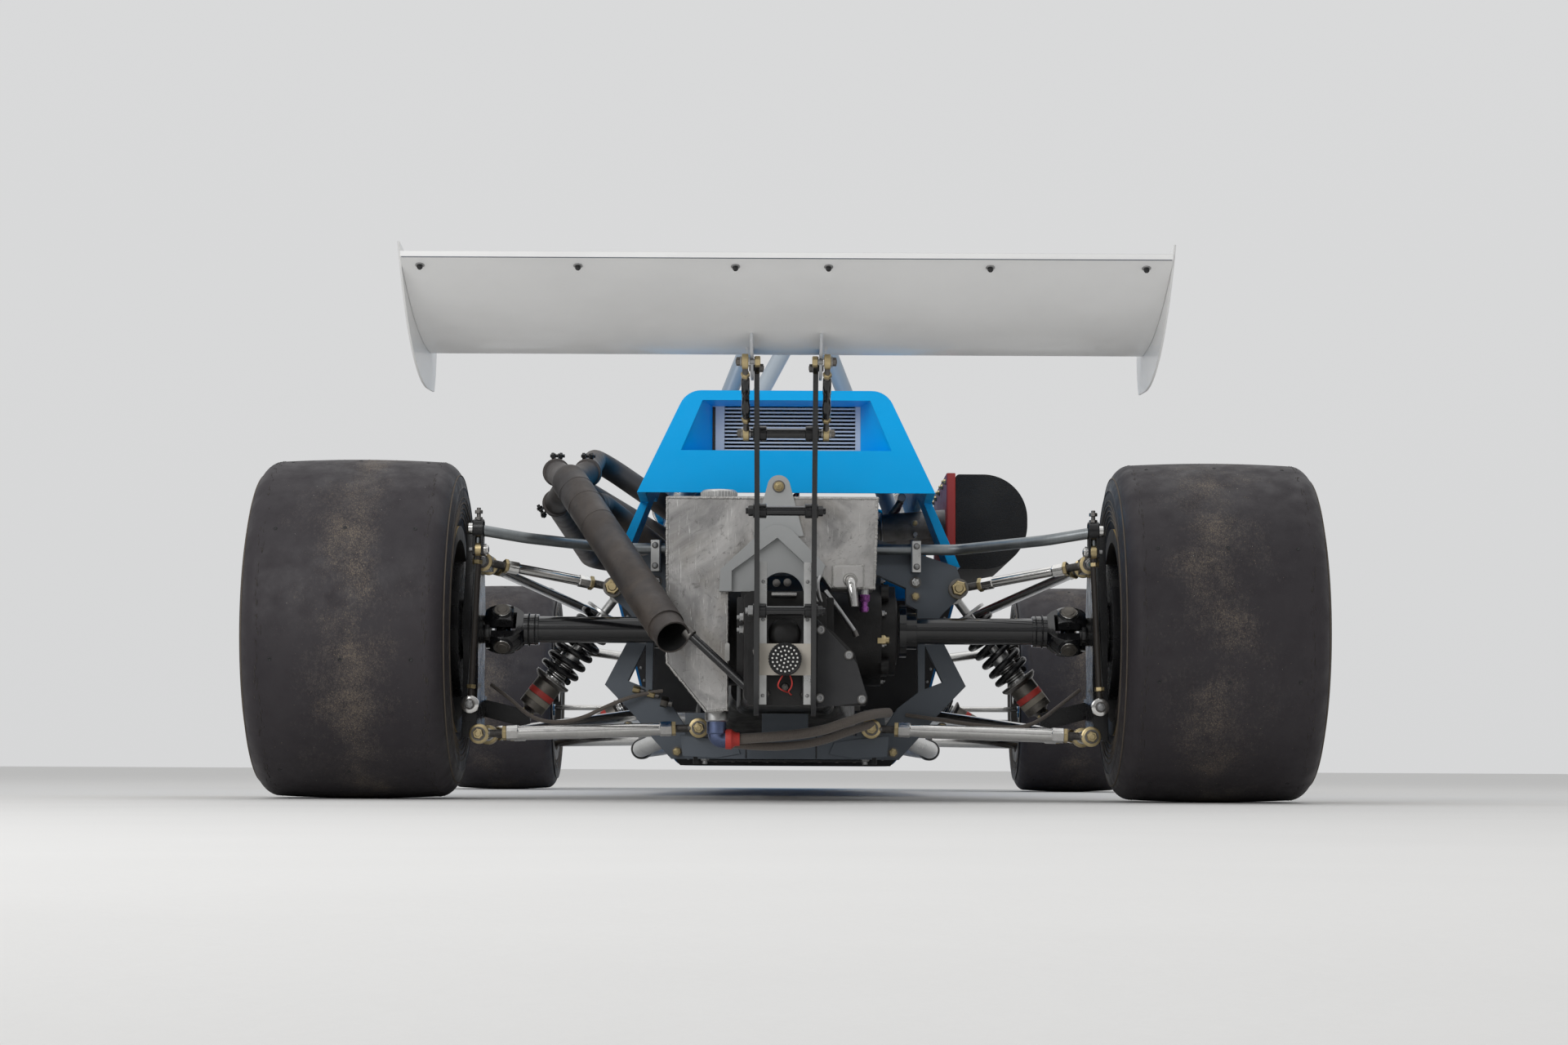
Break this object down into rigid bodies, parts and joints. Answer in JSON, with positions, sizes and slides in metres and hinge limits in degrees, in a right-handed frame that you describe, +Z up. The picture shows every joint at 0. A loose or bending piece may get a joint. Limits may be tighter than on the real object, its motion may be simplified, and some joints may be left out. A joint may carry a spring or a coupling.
{
  "type": "open wheel racing car",
  "caption": "Single seat open wheel racing car with a mid engine, slick tyres on spoked wheels, exposed rear suspension and a raised rear wing.",
  "frame": {"origin": "on the ground at the middle of the overall length and width", "axes": "+X to the car's right, +Y towards the nose, +Z up"},
  "size_m": [1.824, 4.3, 0.985],
  "materials": {
    "blue_paint": "gloss",
    "blue_moulding": "gloss",
    "white_paint": "satin",
    "grey_paint": "satin",
    "black_paint": "satin",
    "gold_paint": "satin",
    "bare_aluminium": "brushed",
    "cast_alloy": "as cast",
    "bright_plate": "polished",
    "bare_steel": "brushed",
    "burnt_steel": "matt, heat stained",
    "black_plastic": "matt",
    "clear_screen": "clear",
    "foam": "open cell foam",
    "wheel_rim_cover": "matt",
    "lamp": "clear lens",
    "tyre_rubber": "scuffed"
  },
  "bodies": {
    "chassis": {"monocoque": "blue_paint", "cockpit_surround": "blue_moulding", "nose_cone": "blue_moulding", "front_wings": "white_paint", "windscreen": "clear_screen", "roll_hoop": "grey_paint", "seat": "black_plastic", "dash_panel": "black_plastic", "rack_housing": "cast_alloy", "radiator": "bare_aluminium", "water_pipes": "bare_aluminium", "mirrors": "black_plastic", "front_wishbones": "bright_plate", "dampers": "bare_aluminium", "springs": "black_paint", "rear_frame": "grey_paint", "rear_uprights": "black_paint", "rear_links": "bright_plate", "rear_antiroll_bar": "bare_steel", "engine": "cast_alloy", "throttle_bodies": "cast_alloy", "air_filter": "foam", "exhaust": "burnt_steel", "gearbox": "black_paint", "oil_tank": "bare_aluminium", "tank_bracket": "grey_paint", "engine_cover": "blue_moulding", "oil_cooler": "bare_aluminium", "wing_posts": "black_paint", "wing_adjusters": "bare_steel", "rear_wing": "white_paint", "wing_end_plates": "white_paint", "light_bracket": "bare_aluminium", "rain_light": "lamp"},
    "steering_column": {"steering_wheel": "wheel_rim_cover"},
    "rack": {"steering_rack": "bright_plate"},
    "steered_upright_left": {"front_upright_left": "black_paint"},
    "front_wheel_left": {"front_hub_left": "bare_steel", "front_tyre_left": "tyre_rubber", "front_rim_left": "gold_paint"},
    "rear_wheel_left": {"half_shaft_left": "black_paint", "rear_tyre_left": "tyre_rubber", "rear_rim_left": "gold_paint"},
    "steered_upright_right": {"front_upright_right": "black_paint"},
    "front_wheel_right": {"front_hub_right": "bare_steel", "front_tyre_right": "tyre_rubber", "front_rim_right": "gold_paint"},
    "rear_wheel_right": {"half_shaft_right": "black_paint", "rear_tyre_right": "tyre_rubber", "rear_rim_right": "gold_paint"}
  },
  "joints": [
    {"name": "front_left_steer", "type": "hinge", "parent": "chassis", "child": "steered_upright_left", "pos_m": [-0.6, 1.37, 0.254], "axis": [0, 0, 1], "range_deg": [-18, 18]},
    {"name": "front_right_steer", "type": "hinge", "parent": "chassis", "child": "steered_upright_right", "pos_m": [0.6, 1.37, 0.254], "axis": [0, 0, 1], "range_deg": [-18, 18]},
    {"name": "front_left_spin", "type": "hinge", "parent": "steered_upright_left", "child": "front_wheel_left", "pos_m": [-0.702, 1.37, 0.254], "axis": [1, 0, 0], "continuous": true},
    {"name": "front_right_spin", "type": "hinge", "parent": "steered_upright_right", "child": "front_wheel_right", "pos_m": [0.702, 1.37, 0.254], "axis": [1, 0, 0], "continuous": true},
    {"name": "rear_left_spin", "type": "hinge", "parent": "chassis", "child": "rear_wheel_left", "pos_m": [-0.737, -1.07, 0.295], "axis": [1, 0, 0], "continuous": true},
    {"name": "rear_right_spin", "type": "hinge", "parent": "chassis", "child": "rear_wheel_right", "pos_m": [0.737, -1.07, 0.295], "axis": [1, 0, 0], "continuous": true},
    {"name": "steering_wheel_turn", "type": "hinge", "parent": "chassis", "child": "steering_column", "pos_m": [0, 0.46, 0.47], "axis": [0, 0.9701, -0.2425], "range_deg": [-150, 150]},
    {"name": "rack_slide", "type": "slide", "parent": "chassis", "child": "rack", "axis": [1, 0, 0], "range_m": [-0.036, 0.036]}
  ],
  "couplings": [
    {"joint": "front_right_steer", "follows": "front_left_steer", "ratio": 1},
    {"joint": "steering_wheel_turn", "follows": "front_left_steer", "ratio": -8},
    {"joint": "rack_slide", "follows": "front_left_steer", "m_per_rad": -0.105}
  ]
}
